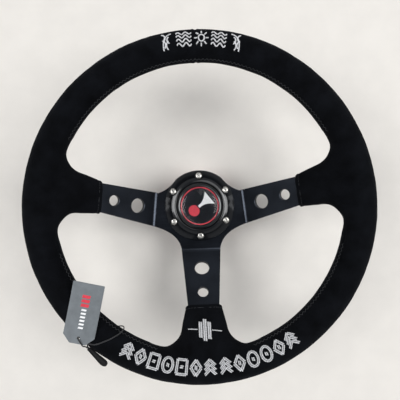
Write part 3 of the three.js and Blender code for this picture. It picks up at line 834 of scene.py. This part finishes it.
DIAMOND = [[(0.5, 0.02), (0.98, 0.5), (0.5, 0.98), (0.02, 0.5), (0.5, 0.02)], [(0.5, 0.38), (0.5, 0.62)]]
CHEVRONS = [[(0.02, 0.08), (0.5, 0.42), (0.98, 0.08)], [(0.02, 0.36), (0.5, 0.70), (0.98, 0.36)],
            [(0.02, 0.64), (0.5, 0.98), (0.98, 0.64)]]
SQUARES = [[(0.05, 0.05), (0.95, 0.05), (0.95, 0.95), (0.05, 0.95), (0.05, 0.05)],
           [(0.36, 0.5), (0.64, 0.5)]]
ROUND = [arc_points(0.5, 0.5, 0.46, 0.46, 0, 360, 24), [(0.5, 0.4), (0.5, 0.6)]]
WAVES = [[(x / 12, y + 0.1 * math.sin(x * 1.05)) for x in range(13)] for y in (0.16, 0.39, 0.62, 0.85)]
SPRIG = [arc_points(0.95, 0.0, 0.75, 0.95, 180, 95), arc_points(0.1, 0.72, 0.34, 0.3, -60, 60),
         arc_points(0.78, 0.2, 0.34, 0.3, 120, 220), arc_points(0.9, 0.52, 0.36, 0.26, 130, 230),
         arc_points(0.1, 0.32, 0.3, 0.26, -50, 60)]
SUN = [arc_points(0.5, 0.5, 0.2, 0.2, 0, 360, 16)] + [
    [(0.5 + 0.3 * math.cos(a), 0.5 + 0.3 * math.sin(a)), (0.5 + 0.48 * math.cos(a), 0.5 + 0.48 * math.sin(a))]
    for a in (math.pi * k / 4 for k in range(8))]


def mirrored(motif):
    return [[(1 - x, y) for x, y in stroke] for stroke in motif]


def satin(stroke, width, split, pitch=0.46):
    """Short threads laid side by side across a stroke, as (start, end) pairs in the plane. A split leaves
    a gap of that width down the stroke's middle."""
    made = []
    carry = 0.0
    for (ax, ay), (bx, by) in zip(stroke, stroke[1:]):
        length = math.hypot(bx - ax, by - ay)
        if length < 1e-6:
            continue
        tx, ty = (bx - ax) / length, (by - ay) / length
        at = carry
        while at < length:
            x, y = ax + tx * at, ay + ty * at
            half = width / 2 * random.uniform(0.9, 1.08)
            lean = 0.35 + random.uniform(-0.08, 0.08)
            dx, dy = -ty * half + tx * lean, tx * half + ty * lean
            if split:
                part = split / 2 / half
                made.append(((x - dx, y - dy), (x - dx * part, y - dy * part)))
                made.append(((x + dx * part, y + dy * part), (x + dx, y + dy)))
            else:
                made.append(((x - dx, y - dy), (x + dx, y + dy)))
            at += pitch
        carry = at - length
    return made


def embroider(name, strokes, place, width, split=0.0):
    """Satin stitch along strokes in millimetres. place takes a point of their plane and a height to a
    point on the suede."""
    paths = []
    for stroke in strokes:
        for (ax, ay), (bx, by) in satin(stroke, width, split):
            path = []
            for t, rise in ((0, -0.05), (0.2, 0.3), (0.5, 0.42), (0.8, 0.3), (1, -0.05)):
                path.append(place(ax + (bx - ax) * t, ay + (by - ay) * t, rise))
            paths.append(path)
    work = tubes(name, paths, 0.27, 5)
    finish(work, "wheel", white_thread)


def laid(motif, x, y, wide, high):
    return [[(x + (px - 0.5) * wide, y + (py - 0.5) * high) for px, py in stroke] for stroke in motif]


def band(centre_theta, mid_phi, outward_is_up):
    """A plane laid on the grip, with x to the driver's right and y up."""
    def place(x, y, rise):
        turn = math.degrees(x / RIM_R)
        tilt = math.degrees(y / GRIP_R)
        if outward_is_up:
            return grip_skin(centre_theta - turn, mid_phi - tilt, rise)
        return grip_skin(centre_theta + turn, mid_phi + tilt, rise)
    return place


top_row = []
for i, motif in enumerate([SPRIG, WAVES, SUN, WAVES, mirrored(SPRIG)]):
    top_row += laid(motif, (i - 2) * 16.4, 0, 14.0, 17.5)
embroider("embroidery_top", top_row, band(88.0, 82, True), 1.35)

bottom_row = []
blocks = [CHEVRONS, DIAMOND, SQUARES, ROUND, SQUARES, DIAMOND, CHEVRONS]
blocks += [CHEVRONS, DIAMOND, ROUND, ROUND, DIAMOND, CHEVRONS]
for i, motif in enumerate(blocks):
    bottom_row += laid(motif, (i - 6) * 14.1 + (1.5 if i > 6 else 0), 0, 10.8, 15.4)
embroider("embroidery_bottom", bottom_row, band(-88.8, 113, False), 2.7, 0.45)


PATCH_AT = BOOT_START + 30


def on_boot(x, y, rise):
    """A plane laid on the bottom boot, with y up."""
    outside = on_spoke(SPOKES["bottom"], PATCH_AT - y, x, 16)
    inside = on_spoke(SPOKES["bottom"], PATCH_AT - y, x, 0)
    return on_skin(outside, inside - outside, rise)


PATCH_COLUMNS = [(-4.5, 0.4, 8.4), (0, 0, 11.6), (4.5, -0.6, 9.2)]  # each one's middle and half height
patch = [[(x, y - reach), (x, y + reach)] for x, y, reach in PATCH_COLUMNS]
embroider("embroidery_boot", patch, on_boot, 3.7, 0.3)
dashes = [[(-17, 1.6), (-7.4, 0.6)], [(7.4, -0.6), (17, -1.8)]]
embroider("embroidery_boot_dashes", dashes, on_boot, 0.8)

# ---- Horn ring, bolts and button ----

ring_outline = [
    (30.5, RING_BASE), (40.6, RING_BASE), (41.2, RING_BASE + 0.8), (41.2, RING_BASE + 2.0),
    (40.4, RING_BASE + 2.7), (33.2, RING_BASE + 7), (30.6, RING_BASE + 8), (28.2, RING_TOP),
    (27.1, RING_TOP - 0.6), (27.1, RING_BASE + 3), (30.5, RING_BASE + 3),
]
HEAD_R = 4.1
horn_ring = turned("horn_ring_body", ring_outline, 128, 0.4)
ring_cutters = []
for angle in BOLT_ANGLES:
    x, y = polar(BOLT_CIRCLE_R, angle)
    ring_cutters.append(rod(BOLT_HOLE_R, RING_BASE - 1, RING_TOP + 1, x, y))
    ring_cutters.append(rod(HEAD_R + 0.45, SEAT_Z, RING_TOP + 4, x, y))
cut(horn_ring, ring_cutters, 32)
finish(horn_ring, "wheel", gloss, ["horn_ring"])

seat = SEAT_Z + GAP
for i, angle in enumerate(BOLT_ANGLES):
    head = [
        (0, COUPLER_H - 8), (2.1, COUPLER_H - 8), (2.5, COUPLER_H - 7.4), (2.5, seat), (HEAD_R, seat),
        (HEAD_R, seat + 0.7), (3.8, seat + 1.7), (3.1, seat + 2.4), (2.4, seat + 2.72), (0, seat + 2.75),
    ]
    bolt = turned(f"bolt_{i + 1}", head, 48, 0.3)
    cut(bolt, [rod(1.75, seat + 1.1, seat + 4, sides=6)])
    bolt.data.transform(Matrix.Rotation(math.radians(17 * i), 4, "Z"))
    bolt.data.transform(Matrix.Translation((*(c * MM for c in polar(BOLT_CIRCLE_R, angle)), 0)))
    finish(bolt, "wheel", zinc, [f"ring_bolt_{i + 1}"])

cup = turned("horn_cup_body", [
    (0, CUP_BASE), (22, CUP_BASE), (22, RING_BASE), (30, RING_BASE), (30, CUP_FLANGE_TOP),
    (20, CUP_FLANGE_TOP), (20, CUP_BASE + 2), (0, CUP_BASE + 2),
])
finish(cup, "wheel", moulded, ["horn_cup"])

cap = turned("horn_cap_body", [
    (17.4, CUP_BASE + 6.5), (19.6, CUP_BASE + 6.5), (19.6, CAP_LOW), (26.4, CAP_LOW),
    (26.6, CAP_LOW + 1.6), (26.5, CAP_LOW + 3.2), (25.9, CAP_LOW + 4.6), (24.8, CAP_LOW + 5.5),
    (23.6, CAP_LOW + 5.95), (22.9, CAP_LOW + 6.05), (22.5, CAP_LOW + 5.7), (22.5, CAP_FACE - 0.3),
    (0.001, CAP_FACE - 0.3), (0.001, CAP_LOW + 1.6), (17.4, CAP_LOW + 1.6),
], 128, 0.5)
finish(cap, "horn_button", cap_gloss, ["horn_cap"])

disc = turned("emblem_disc", washer(0, 22, CAP_FACE - 0.2, CAP_FACE + 0.3), 96, 0.1)
finish(disc, "horn_button", emblem_black, ["horn_emblem"])
PRINT_Z = CAP_FACE + 0.32
PRINT_TOP = PRINT_Z + 0.15
SIGN_TURN = 38


def printed(name, outline, look):
    """A thin printed shape of the given outline, turned as the horn sign is."""
    outline = [spun(x, y, SIGN_TURN) for x, y in outline]
    n = len(outline)
    points = [(x, y, z) for z in (PRINT_Z, PRINT_TOP) for x, y in outline]
    faces = [list(reversed(range(n))), list(range(n, 2 * n)), *between(0, n)]
    finish(mesh_of(name, points, faces, 30), "horn_button", look)


red_ring = turned("emblem_ring", washer(20.6, 21.8, PRINT_Z, PRINT_TOP), 96, 0.05)
finish(red_ring, "horn_button", print_red)

# The horn sign: a red bulb, and a white bell that flares from a narrow neck.
bulb = arc_points(-8.6, 0, 6.2, 6.6, 22, 338, 30)
printed("sign_bulb", bulb, print_red)
flare_top = [(x, 1.5 + 7.6 * max(0, (x - 1) / 14) ** 1.9) for x in (-1.6, 0, 2, 4, 6, 8, 10, 12, 14, 15)]
bell_shape = flare_top + [(x, -y) for x, y in reversed(flare_top)]
printed("sign_bell", bell_shape, print_white)

lens = turned("lens_dome", [
    (0, LENS_LOW - 0.55), (22, LENS_LOW - 0.55), (22, LENS_LOW), (21.3, LENS_LOW + 0.75),
    (19.5, LENS_LOW + 1.25), (17, LENS_LOW + 1.68), (13, LENS_LOW + 2.08), (9, LENS_LOW + 2.32),
    (4.5, LENS_LOW + 2.46), (0, LENS_LOW + 2.5),
], 96, 0.4)
finish(lens, "horn_button", resin, ["horn_lens"])

lower = CUP_BASE + 2 + GAP
upper = lower + 0.6 + PRESS + GAP
fixed_ring = turned("contact_ring_fixed", washer(12, 18.5, lower, lower + 0.6), 64, 0.15)
finish(fixed_ring, "wheel", brass, ["horn_contact_lower"])
moving_ring = turned("contact_ring_moving", washer(12, 19, upper, upper + 0.5), 64, 0.15)
finish(moving_ring, "horn_button", brass, ["horn_contact_upper"])


def coil(name, r, low, high, turns, wire, body, node):
    """A compression spring about Z: an even helix from low to high."""
    path = []
    steps = int(turns * 32)
    for i in range(steps + 1):
        t = i / steps
        a = 2 * math.pi * turns * t
        path.append(Vector((r * math.cos(a), r * math.sin(a), low + (high - low) * t)))
    spring = tubes(name, [path], wire, 10)
    finish(spring, body, steel, [node])
    return spring


# Each spring moves with the piece that presses it, and has a mesh of its own.
HORN_SPRING = (CUP_BASE + 3.2, CAP_LOW + 0.6)
horn_spring = coil("horn_return_spring", 8, *HORN_SPRING, 4, 0.65, "horn_button", "horn_spring")
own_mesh(horn_spring)
COLLAR_SPRING = (18.1, 31.9)
collar_spring = coil("collar_return_spring", 27.1, *COLLAR_SPRING, 3.5, 0.9, "collar", "collar_spring")
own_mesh(collar_spring)


def spade(name, x, node):
    """A spade terminal: a tapered blade with a hole near its end."""
    top = CUP_BASE - GAP
    shoulder, tip = top - 5.6, top - 7
    outline = [(-3.15, top), (3.15, top), (3.15, shoulder), (1.9, tip), (-1.9, tip), (-3.15, shoulder)]
    n = len(outline)
    points = [(x + out, y, z) for out in (-0.4, 0.4) for y, z in outline]
    faces = [list(range(n)), list(range(n, 2 * n)), *between(0, n)]
    blade = mesh_of(name, points, faces, 30)
    hole = rod(0.9, -3, 3)
    place = Matrix.Translation((x * MM, 0, (top - 4.6) * MM))
    hole.data.transform(place @ Matrix.Rotation(math.pi / 2, 4, "Y"))
    cut(blade, [hole])
    bevel = blade.modifiers.new("edge", "BEVEL")
    bevel.width = 0.12 * MM
    bevel.segments = 2
    finish(blade, "wheel", brass, [node])


spade("spade_signal", -10, "horn_terminal_signal")
spade("spade_ground", 10, "horn_terminal_ground")

# ---- Release coupler ----

SOCKET_R = 20
BARREL_R = 25
SOCKET_DEPTH = 31
WEB_TOP = 36
BALL_R = 3.5
BALL_Z = 12
barrel = turned("coupler", [
    (0.001, SOCKET_DEPTH), (SOCKET_R, SOCKET_DEPTH), (SOCKET_R, 0.9), (SOCKET_R + 0.9, 0),
    (BARREL_R - 0.8, 0), (BARREL_R, 0.8), (BARREL_R, 2), (BARREL_R - 1.3, 2), (BARREL_R - 1.3, 3.6),
    (BARREL_R, 3.6), (BARREL_R, 33), (28.6, 33), (28.6, 42), (40.2, 42), (41, 42.8),
    (41, COUPLER_H - GAP), (22.6, COUPLER_H - GAP), (22.6, WEB_TOP), (0.001, WEB_TOP),
], 120, 0.3)
coupler_cutters = [rod(6, SOCKET_DEPTH - 1, WEB_TOP + 1)]
for angle in BOLT_ANGLES:
    coupler_cutters.append(rod(BOLT_HOLE_R, 41, 51, *polar(BOLT_CIRCLE_R, angle)))
for i in range(6):
    key = mesh_of("cutter", [(x, y, z) for x in (15, 22) for y in (-2.6, 2.6) for z in (-1, SOCKET_DEPTH)],
                  [(0, 1, 3, 2), (4, 5, 7, 6), (0, 1, 5, 4), (2, 3, 7, 6), (0, 2, 6, 4), (1, 3, 7, 5)])
    key.data.transform(Matrix.Rotation(math.radians(60 * i), 4, "Z"))
    coupler_cutters.append(key)
    bore = rod(BALL_R + 0.25, SOCKET_R - 4, BARREL_R + 4)
    bore.data.transform(Matrix.Rotation(math.pi / 2, 4, "Y"))
    bore.data.transform(Matrix.Rotation(math.radians(60 * i + 30), 4, "Z"))
    bore.data.transform(Matrix.Translation((0, 0, BALL_Z * MM)))
    coupler_cutters.append(bore)
cut(barrel, coupler_cutters, 32)
finish(barrel, "wheel", coupler_black, ["coupler_body"])

LOCKED_R = SOCKET_R - 1.5 + BALL_R
for i in range(6):
    mesh = bpy.data.meshes.new(f"ball_{i + 1}_steel")
    bm = bmesh.new()
    bmesh.ops.create_uvsphere(bm, u_segments=40, v_segments=20, radius=BALL_R * MM)
    bm.to_mesh(mesh)
    bm.free()
    x, y = polar(LOCKED_R, 60 * i + 30)
    mesh.transform(Matrix.Translation((x * MM, y * MM, BALL_Z * MM)))
    ball = link(mesh, f"ball_{i + 1}_steel")
    smooth(ball, 180)
    finish(ball, f"ball_{i + 1}", ball_steel, [f"lock_ball_{i + 1}"])

sleeve = turned("pull_collar", [
    (BARREL_R + 3.5, 1.5), (39.2, 1.5), (40, 2.3), (40, 5.2), (39.2, 6), (34.2, 6), (33, 7.2), (33, 15),
    (32.2, 15.8), (32.2, 18.2), (33, 19), (33, 30.2), (32.2, 31), (29.1, 31), (29.1, 17),
    (BARREL_R + 0.2, 17), (BARREL_R + 0.2, 15.4), (BARREL_R + 0.9, 14.2), (BARREL_R + 0.9, 12),
    (BARREL_R + 2.6, 5), (BARREL_R + 2.6, 3.7), (BARREL_R + 3.5, 3.7),
], 144, 0.3)
collar_cutters = [rod(3.2, 0, 8, *polar(41.4, 30 * i + 15)) for i in range(12)]
cut(sleeve, collar_cutters, 32)
finish(sleeve, "collar", collar_red, ["release_collar"])

clip_outline = [polar(28, 8 + 344 * i / 80) for i in range(81)]
clip_outline += [polar(BARREL_R - 1, 352 - 344 * i / 80) for i in range(81)]
clip_points = [(x, y, z) for z in (2.2, 3.4) for x, y in clip_outline]
n = len(clip_outline)
clip_faces = [(i, i + 1, n - 2 - i, n - 1 - i) for i in range(80)]
clip_faces += [tuple(n + c for c in reversed(f)) for f in clip_faces]
clip_faces += between(0, n)
clip = mesh_of("split_ring", clip_points, clip_faces, 30)
edge = clip.modifiers.new("edge", "BEVEL")
edge.width = 0.15 * MM
edge.limit_method = "ANGLE"
finish(clip, "wheel", steel, ["retaining_ring"])

bush = turned("pin_bush", [
    (2.4, 29), (5.7, 29), (5.7, WEB_TOP + GAP), (8, WEB_TOP + GAP), (8, WEB_TOP + 2),
    (2.4, WEB_TOP + 2),
], 48, 0.3)
finish(bush, "wheel", moulded, ["contact_insulator"])
pin = turned("pin_contact", [
    (0, 26), (1.3, 26), (2, 26.8), (2, WEB_TOP + 2.4), (3.4, WEB_TOP + 2.4), (3.4, WEB_TOP + 3.4),
    (0, WEB_TOP + 3.4),
], 40, 0.25)
finish(pin, "pin", brass, ["contact_pin"])

for name, look in (("rim_foam", foam), ("rim_core", core_metal)):
    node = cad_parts[name]
    node.data.materials.clear()
    node.data.materials.append(look.material)

# ---- Hang tag ----

TAG_W = 30
TAG_L = 58
TAG_CUT = 7.3
TAG_HOLE_AT = 5.5
TAG_HOLE_R = 1.5
TAG_T = 0.6
TAG_BOW = 0.9
TAG_Z = RIM_Z + GRIP_R + 0.5
TAG_HOLE = Vector((-119.9, -118.4))
TAG_TURN = -13.4


def on_tag(x, y, z):
    """A point of the tag, which is a little bowed along its length."""
    bow = TAG_BOW * ((y - 22) / 30) ** 2
    x, y = spun(x, y, TAG_TURN)
    return (TAG_HOLE.x + x, TAG_HOLE.y + y, TAG_Z + z + bow)


def tag_sheet(name, outline, low, high, look, nodes=(), hole=0.0):
    """A thin sheet on the tag, in strips so that it can bow."""
    holes = [circle(0, 0, hole, 28)] if hole else []
    source = link(sheet_curve(name, high - low, [outline, *holes]), name + "_flat")
    mesh = real_mesh(source)
    bpy.data.objects.remove(source)
    bm = bmesh.new()
    bm.from_mesh(mesh)
    bmesh.ops.remove_doubles(bm, verts=bm.verts, dist=1e-7)
    for step in range(1, 16):
        y = (-TAG_HOLE_AT + TAG_L * step / 16) * MM
        geometry = [*bm.faces, *bm.edges, *bm.verts]
        bmesh.ops.bisect_plane(bm, geom=geometry, plane_co=(0, y, 0), plane_no=(0, 1, 0))
    middle_z = (low + high) / 2
    for vert in bm.verts:
        x, y, z = (c / MM for c in vert.co)
        vert.co = Vector(on_tag(x, y, z + middle_z)) * MM
    bm.to_mesh(mesh)
    bm.free()
    made = link(mesh, name)
    outward(made)
    smooth(made, 30)
    finish(made, "tag", look, nodes)
    return made


half, end = TAG_W / 2, TAG_L - TAG_HOLE_AT
tag_outline = [
    (-half + TAG_CUT, -TAG_HOLE_AT), (half - TAG_CUT, -TAG_HOLE_AT), (half, TAG_CUT - TAG_HOLE_AT),
    (half, end), (-half, end), (-half, TAG_CUT - TAG_HOLE_AT),
]
tag = tag_sheet("tag_card_sheet", eased(tag_outline, 0.6), 0, TAG_T, card, ["hang_tag"], TAG_HOLE_R)
FACE = TAG_T + 0.01
PRINT_T = 0.05
for i in range(3):
    y = 29.6 + 4.2 * i
    stripe = [(-4.2, y), (3.4, y), (4.0, y + 3), (-3.6, y + 3)]
    tag_sheet(f"tag_print_red_{i + 1}", stripe, FACE, FACE + PRINT_T, print_red)
for i in range(6):
    y = 8.8 + 3.4 * i
    bar = [(-2.6, y), (2.1, y), (2.5, y + 1.7), (-2.2, y + 1.7)]
    tag_sheet(f"tag_print_white_{i + 1}", bar, FACE, FACE + PRINT_T, print_white)

SEAL_NECK = 1.9  # half the width where the strings go in
SEAL_END_R = 4.7
SEAL_L = 19.7
SEAL_AT = (-112, -130.2, RIM_Z + 12.8)


def seal_outline(inset):
    """The seal's outline along X, from its neck to its round end."""
    neck = SEAL_NECK - inset
    points = [(inset, -neck)]
    for i in range(25):
        x, y = polar(SEAL_END_R - inset, -98 + 196 * i / 24)
        points.append((SEAL_L + x, y))
    return points + [(inset, neck), (inset, neck / 2), (inset, 0)]


# How far each ring of the moulding lies in from the outline, and its height.
seal_rings = [
    (0.6, -1.3), (0.15, -1.1), (0, -0.7), (0, 0.7), (0.15, 1.1), (0.5, 1.3), (1.0, 1.3), (1.25, 1.15),
    (1.4, 0.85),
]
seal_points = [(x, y, z) for inset, z in seal_rings for x, y in seal_outline(inset)]
n = len(seal_outline(0))
seal_faces = between(0, n, len(seal_rings))
seal_faces += [list(reversed(range(n))), list(range(len(seal_points) - n, len(seal_points)))]
seal = mesh_of("tag_seal_moulding", seal_points, seal_faces, 50)
for degrees, axis in ((36, "X"), (8.2, "Y"), (-50.3, "Z")):
    seal.data.transform(Matrix.Rotation(math.radians(degrees), 4, axis))
seal.data.transform(Matrix.Translation([c * MM for c in SEAL_AT]))
finish(seal, "wheel", seal_black, ["tag_seal"])

# ---- Floor and light ----

FLOOR_HALF = 2500
corners = [(x * FLOOR_HALF, y * FLOOR_HALF, 0) for x, y in ((-1, -1), (1, -1), (1, 1), (-1, 1))]
floor = mesh_of("floor", corners, [(0, 1, 2, 3)])
cloth = Finish("floor_cloth", (0.73, 0.695, 0.645), 0.9)
cloth.tint(cloth.noise(30, 3), 0.98, 1.02)
floor.data.materials.append(cloth.material)

world = bpy.data.worlds.new("studio")
world.use_nodes = True
nodes, join = world.node_tree.nodes, world.node_tree.links.new
sky = nodes.new("ShaderNodeTexCoord")
height = nodes.new("ShaderNodeSeparateXYZ")
shade = nodes.new("ShaderNodeValToRGB")
stops = shade.color_ramp.elements  # from the horizon up to straight overhead
stops[0].color = (0.13, 0.15, 0.18, 1)
stops[1].color = (0.09, 0.095, 0.11, 1)
stops[1].position = 0.98
for at in (0.42, 0.82):
    stops.new(at).color = (0.40, 0.41, 0.43, 1)
join(sky.outputs["Generated"], height.inputs["Vector"])
join(height.outputs["Z"], shade.inputs["Fac"])
join(shade.outputs["Color"], nodes["Background"].inputs["Color"])
nodes["Background"].inputs["Strength"].default_value = 1.0
scene.world = world


def panel(name, place, size, watts):
    """A soft rectangular light that faces the wheel."""
    data = bpy.data.lights.new(name, "AREA")
    data.shape = "RECTANGLE"
    data.size, data.size_y = size
    data.energy = watts
    data.color = (0.98, 0.99, 1)
    light = link(data, name)
    light.location = place
    light.rotation_euler = (Vector((0, 0, 0.1)) - Vector(place)).to_track_quat("-Z", "Y").to_euler()


panel("key", (0.5, 0.5, 1.7), (0.9, 0.9), 5)
panel("right_box", (1.05, 0.0, 1.6), (0.9, 0.95), 18)
panel("left_box", (-1.0, 0.1, 1.65), (0.9, 0.95), 18)

bpy.context.view_layer.update()
